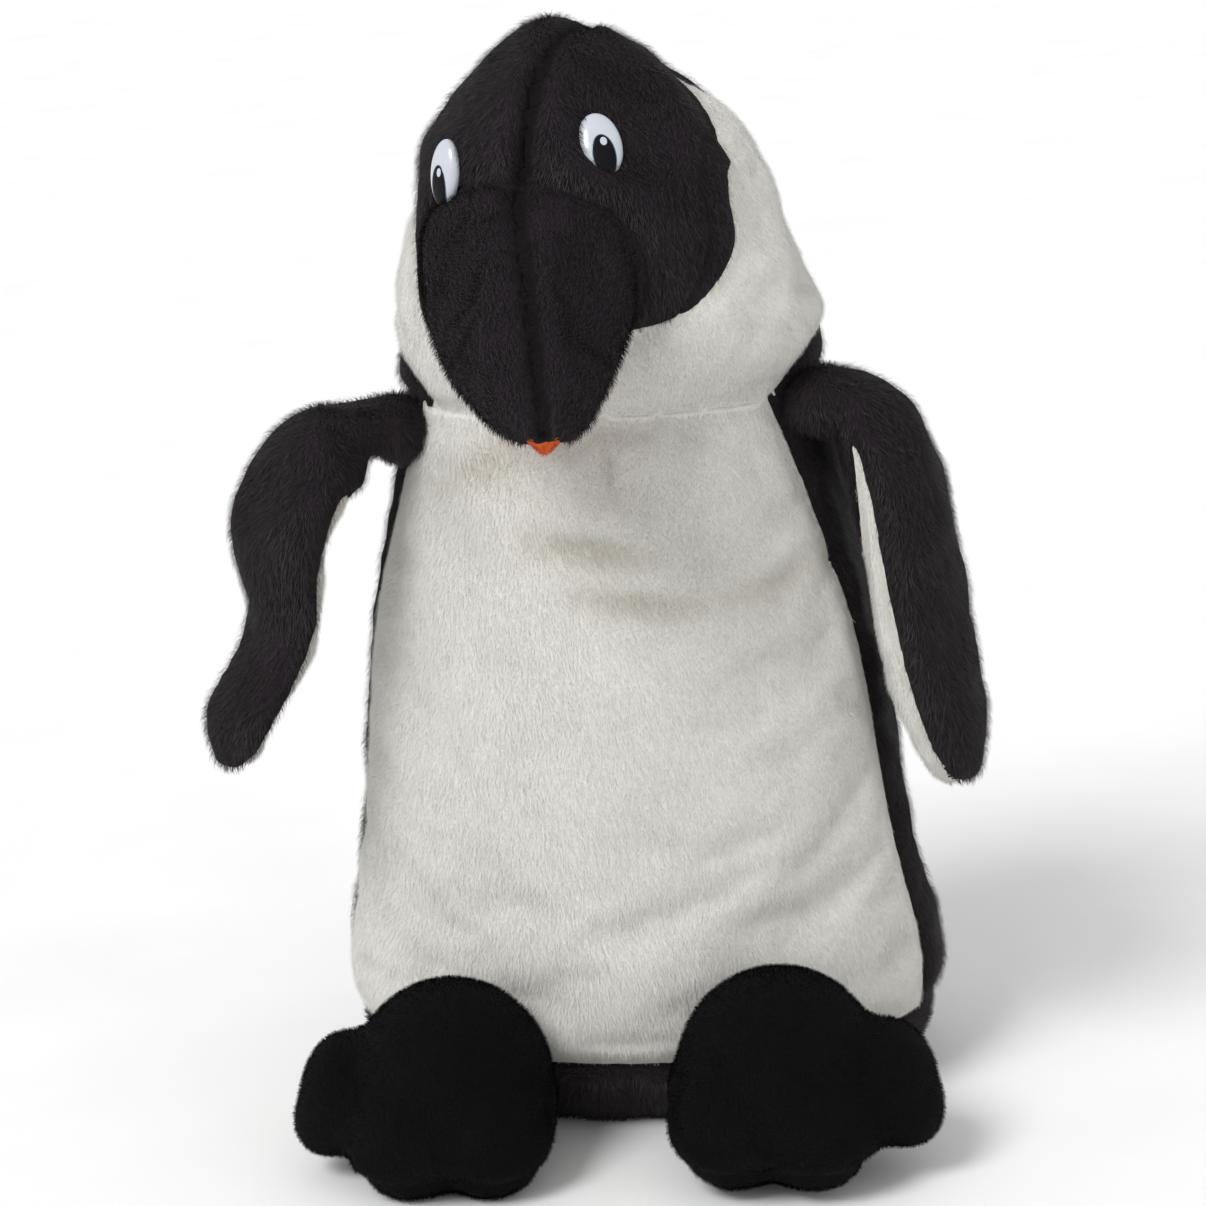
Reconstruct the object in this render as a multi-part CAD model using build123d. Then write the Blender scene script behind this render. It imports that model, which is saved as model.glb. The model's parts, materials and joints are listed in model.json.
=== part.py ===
"""A plush penguin, about 420 mm tall, sitting up on a flat base with its head turned a little to its right.

The skin is sewn from separate fur-fabric panels over fibre stuffing.  The row frame is in millimetres: +Z up,
-Y the way the belly faces, +X the penguin's left, and the origin at the middle of the flat base.
"""

from build123d import *
from math import cos, radians, sin
import os

# ---------------------------------------------------------------- driving dimensions
FABRIC = 4.0            # backing and flattened pile of the long fur fabric
THIN_FABRIC = 2.5       # backing and pile of the short black fabric on the feet
AIR = 0.4               # gap between a fabric panel and the stuffing behind it
NECK_Z = 280.0          # height of the neck seam
NECK_GAP = 1.0          # running gap of the head's turn, at the neck seam
BASE_Z = 30.0           # height of the seam between base panel and body panels
SIDE_SEAM_Y = -11.0     # front-to-back place of the seam between belly and back panels, at the base's middle
DEPTH_RATIO = 0.69      # body depth over body width
SIDE_SEAM_SQUARE = Vector(0.064, 1, 0.067)   # square to that seam, which slants

FACE_YAW, FACE_ROLL = -15.5, 11.0   # turn of the face from straight ahead, and its lean to the right
FACE_AXIS = (-3.5, -8.0, 365.0)     # the point that the face turns and leans about
SEAM_ROLL = -1.0                    # lean of the seam down the middle of the head, which stays nearly upright
EYE_WIDTH, EYE_HEIGHT, EYE_BULGE = 16.0, 25.0, 4.5
EYE_RISE, EYE_BEARING = 10.5, 30.5  # height over the face's middle, and how far round the face each eye is
EYE_CLEAR = 1.0         # room left round an eye by the beak
SHANK_R, SHANK_LENGTH = 2.2, 11.0
WASHER_R, WASHER_T = 8.0, 1.6

FLIPPER_Y, HINGE_R = -18.0, 8.0                # shoulder seam of each flipper, and its rounded root
HANGING_TWIST, BENT_TWIST = 22.0, 45.0         # how far each flipper's front edge turns in towards the body
HANGING_WRAP, BENT_WRAP = 0.0, 6.0             # how far the black fabric wraps round on to the lining's side

FOOT_X, FOOT_Y, FOOT_R = 61.0, -104.0, 39.5    # the ball of each foot
FOOT_HEIGHT = 76.0
FOOT_HINGE_Y, FOOT_HINGE_Z = -67.0, 30.0       # seam between foot and base
FOOT_UP, FOOT_DOWN = 15.0, 30.0                # how far the foot folds each way, in degrees
FOOT_CLEAR = 1.0                               # gap between foot and body
FOOT_LIFT = {"left": 4.0, "right": 0.0}        # the left foot sits a little off the floor
SOLE_Z = 9.0                                   # height of the seam round the sole

STITCHES, STITCH_R, STITCH_LENGTH = 12, 0.5, 6.0
STITCH_Z, STITCH_PITCH, STITCH_SLANT = 60.0, 6.0, 12.0

# (height, half width) of the body, from the flat base to the neck
BODY = [
    (0, 88), (12, 107), (30, 116), (55, 118), (92, 112), (135, 107), (190, 101.5), (240, 90), (262, 84.5), (NECK_Z, 79),
]

# (height, half width, half depth, centre, share of the face's turn)
HEAD = [
    (NECK_Z + NECK_GAP, 80, 57, (0, 0), 0),
    (296, 83, 63, (0, -2), 0.3),
    (322, 78, 67, (-1, -6), 0.7),
    (352, 69, 65, (-2.5, -8), 1),
    (375, 60.5, 60, (-4.5, -9), 1),
    (393, 46.5, 50, (-9.5, -10), 1),
    (409, 29, 34, (-13, -11), 1),
    (418, 14, 17, (-14.5, -11), 1),
    (421, 5, 6, (-15, -11), 1),
]

# (centre of section, half width, half height) along the drooping beak
BEAK = [
    ((-15, -46, 343), 47, 30),
    ((-18, -76, 330.5), 39, 28),
    ((-14, -104, 313.5), 30.5, 22.5),
    ((-9.5, -126, 301), 22.5, 17),
    ((-6, -140, 293.5), 15.5, 12),
    ((-4.5, -149, 288), 5.5, 5),
]
BEAK_SEAM = (0, -46, 325)                      # a point on the flat seam of the orange underside
BEAK_RISE = Vector(0, -38, 103)                # square to that seam
BEAK_RIDGE = [(-2, -20), (-21, -72), (-18, -90), (-11, -122), (-4.5, -152)]   # the seam down the beak's middle

# (distance out from the middle, height, half thickness, half width) along each flipper
HANGING_FLIPPER = [
    (91, 277, 8, 20),
    (103, 265, 14, 25),
    (111.5, 241, 17, 28),
    (117, 207, 17, 28),
    (123, 173, 16, 26),
    (130, 143, 12, 20),
    (134, 127, 5, 9),
]
BENT_FLIPPER = [
    (91, 271, 8, 20),
    (113, 265, 14.5, 25),
    (131, 247, 16, 28),
    (138, 222, 13, 24),
    (138, 202, 11, 21),
    (149, 183, 10.5, 21),
    (163, 164, 10, 19),
    (170, 150, 4, 7),
]

# (centre, half sizes) of the inner and middle toe, and the outer toe with its drooping tip, from the ball's own
# x and y and from the floor
TOES = [
    ((-15, -20, 23), (24.5, 24.5, 24.5)),
    ((14, -21, 23), (24.5, 24.5, 24.5)),
    ((41, 0, 33), (18, 24, 24)),
    ((50, -4, 24), (12.5, 17, 15)),
]

# outlines in the face's own frame, which has its origin on the face's axis
# each arch: half width, bottom, corner radius, rear edge, and how that edge leans back above the middle
FACE_ARCH = (56.5, -70, 45, -16, 40)
MASK_ARCH = (62.5, -59, 28, -11, 45)
CHEEK_POINT, CHEEK_LEAN = (18, 23), 13.0       # upper point of the white cheek, and the lean of its rear edge
NAPE_Y, NAPE_LEAN = 16.0, 24.0                 # rear edge of the cheeks low down, by the neck seam
SHOULDER_X, SHOULDER_LEAN = 65.0, 42.0         # where the black comes forward round the neck, and the lean of its edge

BIG = 400.0
OFFCUT = 4.0


# ---------------------------------------------------------------- helpers
def oval(z, a, b, y=0.0, turn=0.0):
    """A level ellipse at height z."""
    return Plane.XY.offset(z) * Pos(0, y) * Rot(0, 0, turn) * Ellipse(a, b)


def slab(lo, hi):
    """An axis-aligned box from one corner to the other."""
    size = [h - l for l, h in zip(lo, hi)]
    middle = [(h + l) / 2 for l, h in zip(lo, hi)]
    return Pos(*middle) * Box(*size)


HALVES = {
    "left": slab((0, -BIG, -BIG), (BIG, BIG, 2 * BIG)),
    "right": slab((-BIG, -BIG, -BIG), (0, BIG, 2 * BIG)),
}


def on_face(shape, roll=FACE_ROLL):
    """A shape from the face's own frame, carried to the row frame."""
    return Pos(*FACE_AXIS) * Rot(0, 0, FACE_YAW) * Rot(0, -roll, 0) * shape


def save(name, shape):
    """Writes one node, without offcuts too small to sew."""
    solids = [s for s in shape.solids() if s.volume > OFFCUT]
    export_step(Compound(children=solids), f"parts/{name}.step")


# ---------------------------------------------------------------- body
def body_loft(inset):
    """The body's closed shape, smaller all round by inset; its top stays at the neck."""
    return loft([oval(max(z, inset), a - inset, a * DEPTH_RATIO - inset) for z, a in BODY])


def half_width(z):
    """Half width of the body at a height, by straight lines between its sections."""
    for (z0, a0), (z1, a1) in zip(BODY, BODY[1:]):
        if z0 <= z <= z1:
            return a0 + (a1 - a0) * (z - z0) / (z1 - z0)
    raise ValueError(z)


def make_body():
    skin = body_loft(0) - body_loft(FABRIC)
    seam = Plane(origin=(0, SIDE_SEAM_Y, 0), z_dir=SIDE_SEAM_SQUARE.normalized())
    front = seam * slab((-2 * BIG, -2 * BIG, -BIG), (2 * BIG, 2 * BIG, 0))
    upper = skin & slab((-BIG, -BIG, BASE_Z), (BIG, BIG, 2 * BIG))
    rear = upper - front
    save("base_panel", skin - slab((-BIG, -BIG, BASE_Z), (BIG, BIG, 2 * BIG)))
    save("belly_panel", upper & front)
    for side, half in HALVES.items():
        save(f"back_panel_{side}", rear & half)
    save("body_stuffing", body_loft(FABRIC + AIR))


def make_closing_stitches():
    """Hand stitches that close the stuffing opening in the centre-back seam, lying on the fabric."""
    row = []
    for i in range(STITCHES):
        z = STITCH_Z + i * STITCH_PITCH
        y = half_width(z) * DEPTH_RATIO + 2.5 * STITCH_R
        slant = STITCH_SLANT if i % 2 else -STITCH_SLANT
        row.append((Pos(0, y, z) * Rot(0, 90 + slant, 0) * Cylinder(STITCH_R, STITCH_LENGTH)).solid())
    save("closing_stitches", Compound(children=row))


# ---------------------------------------------------------------- head
def head_loft(inset):
    sections = []
    for z, a, b, (x, y), share in HEAD:
        height = z - inset if z == HEAD[-1][0] else z
        level = Plane.XY.offset(height) * Pos(x, y) * Rot(0, 0, FACE_YAW * share)
        sections.append(level * Ellipse(max(a - inset, 3), max(b - inset, 3)))
    return loft(sections)


def beak_loft(inset):
    sections = []
    for i, (centre, wide, tall) in enumerate(BEAK):
        before = Vector(*BEAK[max(i - 1, 0)][0])
        after = Vector(*BEAK[min(i + 1, len(BEAK) - 1)][0])
        along = (after - before).normalized()
        across = Vector(0, 0, 1).cross(along).normalized()
        section = Plane(origin=centre, x_dir=across, z_dir=along)
        sections.append(section * Ellipse(max(wide - inset, 1.5), max(tall - inset, 1.5)))
    return loft(sections)


def arch(half_wide, bottom, corner, reach, lean):
    """Everything in front within an arch on the face, which is open at the top and leans back there."""
    tall = BIG / 2
    opening = Plane.XZ * Pos(0, bottom + tall / 2) * RectangleRounded(2 * half_wide, tall, corner)
    front = Pos(0, reach, 0) * extrude(opening, BIG / 2)
    crown = Pos(0, reach, 0) * Rot(-lean, 0, 0) * slab((-BIG, -BIG, 0), (BIG, 0, BIG))
    return on_face(front + crown)


def behind_cheeks():
    """Everything behind the rear edge of the white cheeks, and the corners above each shoulder."""
    y, z = CHEEK_POINT
    rear = on_face(Pos(0, y, z) * Rot(CHEEK_LEAN, 0, 0) * slab((-BIG, 0, -BIG), (BIG, BIG, BIG)))
    rear += Pos(0, NAPE_Y, NECK_Z) * Rot(-NAPE_LEAN, 0, 0) * slab((-BIG, 0, -BIG), (BIG, BIG, BIG))
    for side in (-1, 1):
        edge = Pos(side * SHOULDER_X, 0, NECK_Z) * Rot(0, side * SHOULDER_LEAN, 0)
        lo, hi = sorted((0, side * BIG))
        rear += edge * slab((lo, -BIG, -BIG), (hi, BIG, BIG))
    return rear


def eye_place(dome, side):
    """The plane on the head's surface where an eye is fixed: z out of the face, y along the eye."""
    bearing = radians(side * EYE_BEARING)
    middle = Vector(0, 0, EYE_RISE)
    ray = on_face(Edge.make_line(middle, middle + Vector(sin(bearing), -cos(bearing), 0) * BIG / 2))
    at = (ray & dome).edges()[0] @ 1
    outward = min(dome.faces(), key=lambda f: f.distance_to(at)).normal_at(at)
    lean = Vector(-sin(radians(FACE_ROLL)), 0, cos(radians(FACE_ROLL)))
    up = lean - outward * outward.dot(lean)
    return Plane(origin=at, x_dir=up.cross(outward).normalized(), z_dir=outward)


def make_eye(place):
    """A one-piece plastic eye with its shank, the lock washer behind the fabric, and the room they need in
    the head and beside the beak."""
    cap = scale(Sphere(1), by=(EYE_WIDTH / 2, EYE_HEIGHT / 2, EYE_BULGE)) & slab((-30, -30, 0), (30, 30, 30))
    lift = 0.3
    shank = Pos(0, 0, lift + 0.5 - SHANK_LENGTH / 2) * Cylinder(SHANK_R, SHANK_LENGTH)
    cap_room = scale(Sphere(1), by=(EYE_WIDTH / 2 + EYE_CLEAR, EYE_HEIGHT / 2 + EYE_CLEAR, EYE_BULGE + EYE_CLEAR))
    at_washer = Pos(0, 0, -(FABRIC + 3.0))
    washer = at_washer * (Cylinder(WASHER_R, WASHER_T) - Cylinder(SHANK_R + 0.1, 2 * WASHER_T))
    room = at_washer * Cylinder(WASHER_R + AIR, WASHER_T + 2 * AIR)
    bore = Pos(0, 0, -SHANK_LENGTH / 2) * Cylinder(SHANK_R + AIR, SHANK_LENGTH + 8)
    return place * (Pos(0, 0, lift) * cap + shank), place * washer, place * (room + bore), place * cap_room


def make_head():
    dome = head_loft(0)
    beak = beak_loft(0)
    skin = dome - head_loft(FABRIC)
    rear_zone = behind_cheeks()
    mask_zone = arch(*MASK_ARCH) - rear_zone
    face_zone = arch(*FACE_ARCH) & mask_zone

    face = (skin & face_zone) - beak
    mask = (skin & mask_zone) - face_zone
    rest = skin - mask_zone
    eyes = {"left": make_eye(eye_place(dome, 1)), "right": make_eye(eye_place(dome, -1))}
    holes = eyes["left"][2] + eyes["right"][2]
    for side, straight in HALVES.items():
        half = on_face(straight, roll=SEAM_ROLL)
        save(f"face_panel_{side}", (face & half) - holes)
        save(f"mask_strip_{side}", mask & half)
        save(f"cheek_panel_{side}", (rest - rear_zone) & half)
        save(f"head_back_panel_{side}", (rest & rear_zone) & half)
        save(f"eye_{side}", eyes[side][0])
        save(f"eye_washer_{side}", eyes[side][1])
    save("head_stuffing", head_loft(FABRIC + AIR) - holes)

    past_eyes = eyes["left"][3] + eyes["right"][3]
    beak_skin = (beak - beak_loft(FABRIC)) - dome - past_eyes
    seam = Plane(origin=BEAK_SEAM, x_dir=(1, 0, 0), z_dir=BEAK_RISE.normalized())
    below = seam * slab((-BIG, -BIG, -BIG), (BIG, BIG, 0))
    side_wall = Polyline(*BEAK_RIDGE, (BIG, -152), (BIG, -20), BEAK_RIDGE[0])
    left_of = Pos(0, 0, 200) * extrude(make_face(side_wall), BIG / 2)
    save("beak_panel_left", (beak_skin - below) & left_of)
    save("beak_panel_right", (beak_skin - below) - left_of)
    save("beak_underside", beak_skin & below)
    save("beak_stuffing", beak_loft(FABRIC + AIR) - dome - past_eyes)


# ---------------------------------------------------------------- flippers
def flipper_loft(stations, inset):
    """A flipper along its path in the XZ plane, its width along Y."""
    sections = []
    for i, (x, z, thick, wide) in enumerate(stations):
        x0, z0 = stations[max(i - 1, 0)][:2]
        x1, z1 = stations[min(i + 1, len(stations) - 1)][:2]
        along = Vector(x1 - x0, 0, z1 - z0).normalized()
        section = Plane(origin=(x, 0, z), x_dir=(0, 1, 0), z_dir=along)
        sections.append(section * Ellipse(wide - inset, max(thick - inset, 1)))
    return loft(sections)


def make_flipper(side, stations, twist, wrap):
    """Outer panel, white lining and stuffing of one flipper, drawn for the left and mirrored for the right."""
    hinge_x, hinge_z, _, wide = stations[0]
    root = Pos(hinge_x, 0, hinge_z) * Rot(90, 0, 0) * Cylinder(HINGE_R, 2 * wide - 16)
    skin = flipper_loft(stations, 0) + root - flipper_loft(stations, FABRIC)
    path = [(x - wrap, z) for x, z, _, _ in stations]
    start = (path[0][0] - 60, path[0][1] + 50)
    end = (path[-1][0] + 60, path[-1][1] - 120)
    edge = Polyline(start, *path, end, (0, end[1]), (0, start[1]), start)
    body_side = Pos(0, 60, 0) * extrude(Plane.XZ * make_face(edge), 120)
    pieces = {
        "outer": skin - body_side,
        "lining": skin & body_side,
        "stuffing": flipper_loft(stations, FABRIC + AIR),
    }
    for name, shape in pieces.items():
        placed = Pos(hinge_x, FLIPPER_Y, 0) * Rot(0, 0, -twist) * Pos(-hinge_x, 0, 0) * shape
        save(f"flipper_{name}_{side}", placed if side == "left" else mirror(placed, about=Plane.YZ))


# ---------------------------------------------------------------- feet
def fold_room(away, lift):
    """What the body sweeps, seen from the left foot, as the foot folds up and down at its seam."""
    body = loft([oval(z - lift, a + away, a * DEPTH_RATIO + away) for z, a in BODY[:6]])
    seam = Pos(0, FOOT_HINGE_Y, FOOT_HINGE_Z)
    shape = body
    for angle in (FOOT_UP, FOOT_UP / 2, -FOOT_DOWN / 2, -FOOT_DOWN):
        shape += seam * Rot(angle, 0, 0) * seam.inverse() * body
    return shape


def foot_shape(inset, lift):
    """The ball of a left foot and its toes, clear of the body behind when it sits that far off the floor."""
    shape = Pos(FOOT_X, FOOT_Y, FOOT_HEIGHT - FOOT_R) * Sphere(FOOT_R - inset)
    for (dx, dy, z), half_sizes in TOES:
        shape += Pos(FOOT_X + dx, FOOT_Y + dy, z) * scale(Sphere(1), by=tuple(h - inset for h in half_sizes))
    shape &= slab((-BIG, -BIG, inset), (BIG, FOOT_HINGE_Y - inset, BIG))
    return (shape - fold_room(FOOT_CLEAR + inset, lift)).solids().sort_by(SortBy.VOLUME)[-1]


def make_foot(side, lift):
    skin = foot_shape(0, lift) - foot_shape(THIN_FABRIC, lift)
    ground = slab((-BIG, -BIG, -BIG), (BIG, BIG, SOLE_Z))
    pieces = {
        "upper": skin - ground,
        "sole": skin & ground,
        "stuffing": foot_shape(THIN_FABRIC + AIR, lift),
    }
    for name, shape in pieces.items():
        placed = Pos(0, 0, lift) * shape
        save(f"foot_{name}_{side}", placed if side == "left" else mirror(placed, about=Plane.YZ))


os.makedirs("parts", exist_ok=True)
make_body()
make_closing_stitches()
make_head()
make_flipper("left", HANGING_FLIPPER, HANGING_TWIST, HANGING_WRAP)
make_flipper("right", BENT_FLIPPER, BENT_TWIST, BENT_WRAP)
for side, lift in FOOT_LIFT.items():
    make_foot(side, lift)
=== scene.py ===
import json
from math import cos, pi, radians, sin

import bmesh
import bpy
import numpy as np
from mathutils import Matrix, Quaternion, Vector
from mathutils.bvhtree import BVHTree
from mathutils.kdtree import KDTree


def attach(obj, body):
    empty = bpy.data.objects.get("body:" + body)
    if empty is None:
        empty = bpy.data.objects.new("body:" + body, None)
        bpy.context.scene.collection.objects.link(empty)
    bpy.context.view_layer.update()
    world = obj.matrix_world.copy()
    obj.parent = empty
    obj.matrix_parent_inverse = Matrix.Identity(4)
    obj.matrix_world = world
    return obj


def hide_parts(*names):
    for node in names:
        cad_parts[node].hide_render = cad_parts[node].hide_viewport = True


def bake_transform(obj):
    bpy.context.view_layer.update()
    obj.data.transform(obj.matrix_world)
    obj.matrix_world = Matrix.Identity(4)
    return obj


# The look of a plush penguin, built round its CAD frame: sewn fur-fabric panels swelled by their stuffing,
# with a real pile of short fibres, plastic eyes, and a plain studio.
# Lengths are in metres unless a name says otherwise.

MM = 0.001
SIDES = ("left", "right")

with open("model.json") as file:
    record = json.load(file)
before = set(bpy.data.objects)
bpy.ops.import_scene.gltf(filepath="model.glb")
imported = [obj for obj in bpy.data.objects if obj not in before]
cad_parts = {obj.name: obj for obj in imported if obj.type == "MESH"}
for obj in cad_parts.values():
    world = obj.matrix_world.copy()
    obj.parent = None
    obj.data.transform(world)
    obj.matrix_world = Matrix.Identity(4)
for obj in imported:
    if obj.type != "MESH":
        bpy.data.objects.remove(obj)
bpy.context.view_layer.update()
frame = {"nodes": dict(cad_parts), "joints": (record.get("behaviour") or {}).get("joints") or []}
nodes = frame["nodes"]


# ---------------------------------------------------------------- mesh helpers
def link(name, mesh):
    piece = bpy.data.objects.new(name, mesh)
    bpy.context.scene.collection.objects.link(piece)
    return piece


def coordinates(mesh):
    co = np.empty(len(mesh.vertices) * 3)
    mesh.vertices.foreach_get("co", co)
    return co.reshape(-1, 3)


def set_coordinates(mesh, co):
    mesh.vertices.foreach_set("co", np.ascontiguousarray(co, dtype=np.float32).ravel())
    mesh.update()


def normals(mesh):
    out = np.empty(len(mesh.vertices) * 3)
    mesh.vertices.foreach_get("normal", out)
    return out.reshape(-1, 3)


def edge_ends(mesh):
    ends = np.empty(len(mesh.edges) * 2, dtype=np.int64)
    mesh.edges.foreach_get("vertices", ends)
    return ends.reshape(-1, 2)


def smoothed(values, ends, times, share=0.5):
    """Averages each vertex's value with its neighbours' a number of times."""
    values = np.array(values, dtype=float)
    count = np.bincount(ends.ravel(), minlength=len(values)).astype(float)
    count = count.reshape((-1,) + (1,) * (values.ndim - 1))
    for _ in range(times):
        total = np.zeros_like(values)
        np.add.at(total, ends[:, 0], values[ends[:, 1]])
        np.add.at(total, ends[:, 1], values[ends[:, 0]])
        values += share * (total / count - values)
    return values


def apply_modifiers(piece):
    graph = bpy.context.evaluated_depsgraph_get()
    mesh = bpy.data.meshes.new_from_object(piece.evaluated_get(graph))
    piece.modifiers.clear()
    piece.data = mesh


def keep_largest_shell(piece):
    """Removes the hollows that a remesh leaves inside."""
    bm = bmesh.new()
    bm.from_mesh(piece.data)
    unseen = set(bm.verts)
    shells = []
    while unseen:
        stack = [unseen.pop()]
        shell = list(stack)
        while stack:
            for edge in stack.pop().link_edges:
                for v in edge.verts:
                    if v in unseen:
                        unseen.remove(v)
                        stack.append(v)
                        shell.append(v)
        shells.append(shell)
    shells.sort(key=len)
    for shell in shells[:-1]:
        bmesh.ops.delete(bm, geom=shell, context="VERTS")
    bm.to_mesh(piece.data)
    bm.free()


def skin_over(name, members, voxel, lumps=()):
    """One closed skin over a group of CAD nodes, and over ellipsoids that fill it out."""
    bm = bmesh.new()
    for member in members:
        bm.from_mesh(nodes[member].data)
    for centre, radii in lumps:
        at = Matrix.Translation(centre) @ Matrix.Diagonal((*radii, 1))
        bmesh.ops.create_icosphere(bm, subdivisions=4, radius=1, matrix=at)
    mesh = bpy.data.meshes.new(name)
    bm.to_mesh(mesh)
    bm.free()
    piece = link(name, mesh)
    remesh = piece.modifiers.new("remesh", "REMESH")
    remesh.mode = "VOXEL"
    remesh.voxel_size = voxel
    apply_modifiers(piece)
    keep_largest_shell(piece)
    return piece


def inflate(piece, pinned, pressure, cap):
    """Lets stuffing press the fabric out between its seams, by cloth simulation, by at most cap."""
    before = coordinates(piece.data)
    group = piece.vertex_groups.new(name="seams")
    for i, weight in enumerate(pinned):
        group.add([i], float(weight), "REPLACE")
    cloth = piece.modifiers.new("cloth", "CLOTH")
    settings = cloth.settings
    settings.vertex_group_mass = "seams"
    settings.quality = 4
    settings.mass = 0.15
    settings.tension_stiffness = 12
    settings.compression_stiffness = 12
    settings.shear_stiffness = 6
    settings.bending_stiffness = 0.4
    settings.shrink_min = -0.03
    settings.use_pressure = True
    settings.uniform_pressure_force = pressure
    settings.effector_weights.gravity = 0.1
    cloth.collision_settings.use_collision = False
    for step in range(1, 21):
        bpy.context.scene.frame_set(step)
    apply_modifiers(piece)
    piece.vertex_groups.clear()
    bpy.context.scene.frame_set(1)
    move = coordinates(piece.data) - before
    length = np.linalg.norm(move, axis=1, keepdims=True)
    move *= cap * np.tanh(length / cap) / np.maximum(length, 1e-9)
    set_coordinates(piece.data, before + move)


def subdivide(piece, levels=1):
    modifier = piece.modifiers.new("subdivide", "SUBSURF")
    modifier.levels = levels
    apply_modifiers(piece)


class Seams:
    """Where each point of a skin is among the CAD panels it was made from."""

    def __init__(self, panels, reach, claims=()):
        self.panels = panels
        self.reach = reach
        self.claims = claims
        self.trees = []
        for panel in panels:
            mesh = nodes[panel].data
            polygons = [tuple(p.vertices) for p in mesh.polygons]
            self.trees.append(BVHTree.FromPolygons([v.co for v in mesh.vertices], polygons))

    def locate(self, points, up):
        """For each point: its panel, the next panel, and how far along the skin that panel is."""
        points = points + up * 3 * MM
        own = np.zeros(len(points), dtype=int)
        other = np.zeros(len(points), dtype=int)
        gap = np.full(len(points), self.reach)
        far = 4 * self.reach
        for i, point in enumerate(points):
            hits = [tree.find_nearest(point, far) for tree in self.trees]
            distances = [far if hit[0] is None else hit[3] for hit in hits]
            own[i] = int(np.argmin(distances))
            foot = hits[own[i]][0] or Vector(point)
            best = self.reach
            other[i] = own[i]
            for k, tree in enumerate(self.trees):
                if k == own[i] or distances[k] >= far:
                    continue
                hit = tree.find_nearest(foot, best)
                if hit[0] is not None and hit[3] < best:
                    best = hit[3]
                    other[i] = k
            gap[i] = best
        for taker, giver, rule in self.claims:
            pair = self.panels.index(taker), self.panels.index(giver)
            self.move_seam(*pair, rule, points, own, other, gap)
        return own, other, gap

    @staticmethod
    def move_seam(taker, giver, rule, points, own, other, gap):
        """Gives one panel part of its neighbour: rule says how far inside the new seam each point lies."""
        depth = rule(points, np.where(own == giver, gap, -gap))
        held = (own == taker) & (other == giver)
        taken = (own == giver) & (other == taker) & (depth > 0)
        near = (own == giver) & (depth <= 0) & (-depth < gap)
        gap[held] = np.maximum(gap[held], depth[held])
        own[taken] = taker
        other[taken] = giver
        gap[taken] = depth[taken]
        other[near] = taker
        gap[near] = -depth[near]


def pull_in_seams(piece, seams, depths, width):
    """Draws the skin in along its seams, deeper where the pair of panels says so."""
    co = coordinates(piece.data)
    own, other, gap = seams.locate(co, normals(piece.data))
    depth = np.array([seam_value(seams.panels[a], seams.panels[b], depths) for a, b in zip(own, other)])
    depth[own == other] = 0
    move = depth * np.exp(-((gap / width) ** 2))
    set_coordinates(piece.data, co - normals(piece.data) * move[:, None])


def family(panel):
    for side in SIDES:
        if panel.endswith("_" + side):
            return panel[: -len(side) - 1]
    return panel


def seam_value(a, b, table):
    """What a table keyed by pairs of kinds of panel says about the seam between two panels."""
    return table.get(frozenset((family(a), family(b))), table["usual"])


def split_panels(piece, seams, partings, thickness):
    """Cuts a skin along its seams into one closed panel per CAD panel, and marks where the pile parts, a mark
    that also sets the painted shade along the seams.
    """
    own, other, gap = seams.locate(coordinates(piece.data), normals(piece.data))
    strength = [seam_value(seams.panels[a], seams.panels[b], partings) for a, b in zip(own, other)]
    parting = np.array(strength) * np.exp(-((gap / PARTING_WIDTH) ** 2)) * (own != other)
    bm = bmesh.new()
    bm.from_mesh(piece.data)
    owner = dict(zip(bm.verts, own.tolist()))
    room = dict(zip(bm.verts, gap.tolist()))
    parted = dict(zip(bm.verts, parting.tolist()))
    cut_edges(bm, owner, room, parted)
    for face in list(bm.faces):
        cut_face(face, owner)
    bm.verts.index_update()
    co = [tuple(v.co) for v in bm.verts]
    parting = [parted[v] for v in bm.verts]
    faces = {k: [] for k in range(len(seams.panels))}
    for face in bm.faces:
        label = next(owner[v] for v in face.verts if v in owner)
        faces[label].append([v.index for v in face.verts])
    bm.free()
    made = {}
    for k, panel in enumerate(seams.panels):
        used = sorted({v for face in faces[k] for v in face})
        index = {v: i for i, v in enumerate(used)}
        panel_mesh = bpy.data.meshes.new(panel + "_cloth")
        panel_mesh.from_pydata([co[v] for v in used], [], [[index[v] for v in face] for face in faces[k]])
        marks = panel_mesh.attributes.new("parting", "FLOAT", "POINT")
        marks.data.foreach_set("value", [parting[v] for v in used])
        panel_mesh.shade_smooth()
        made[panel] = link(panel + "_cloth", panel_mesh)
        thicken(made[panel], thickness)
    bpy.data.objects.remove(piece)
    return made


def cut_edges(bm, owner, room, parted):
    """Puts a point where a seam crosses an edge; the points put in have no owner."""
    for edge in list(bm.edges):
        a, b = edge.verts
        if owner[a] != owner[b]:
            share = room[a] / max(room[a] + room[b], 1e-9)
            _, added = bmesh.utils.edge_split(edge, a, min(max(share, 0.06), 0.94))
            parted[added] = max(parted[a], parted[b])


def cut_face(face, owner):
    """Parts a face from seam point to seam point, so that each part has one owner."""
    loose = [v for v in face.verts if v not in owner]
    while len(loose) > 1:
        corners = list(face.verts)
        first = corners.index(loose[0])
        corners = corners[first:] + corners[:first]
        second = next(i for i in range(1, len(corners)) if corners[i] not in owner)
        if second == 1:
            return
        rest, _ = bmesh.utils.face_split(face, corners[0], corners[second])
        if len(loose) == 2:
            return
        run = set(corners[1:second])
        face = rest if not run & set(rest.verts) else face
        loose = loose[1:]


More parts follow.
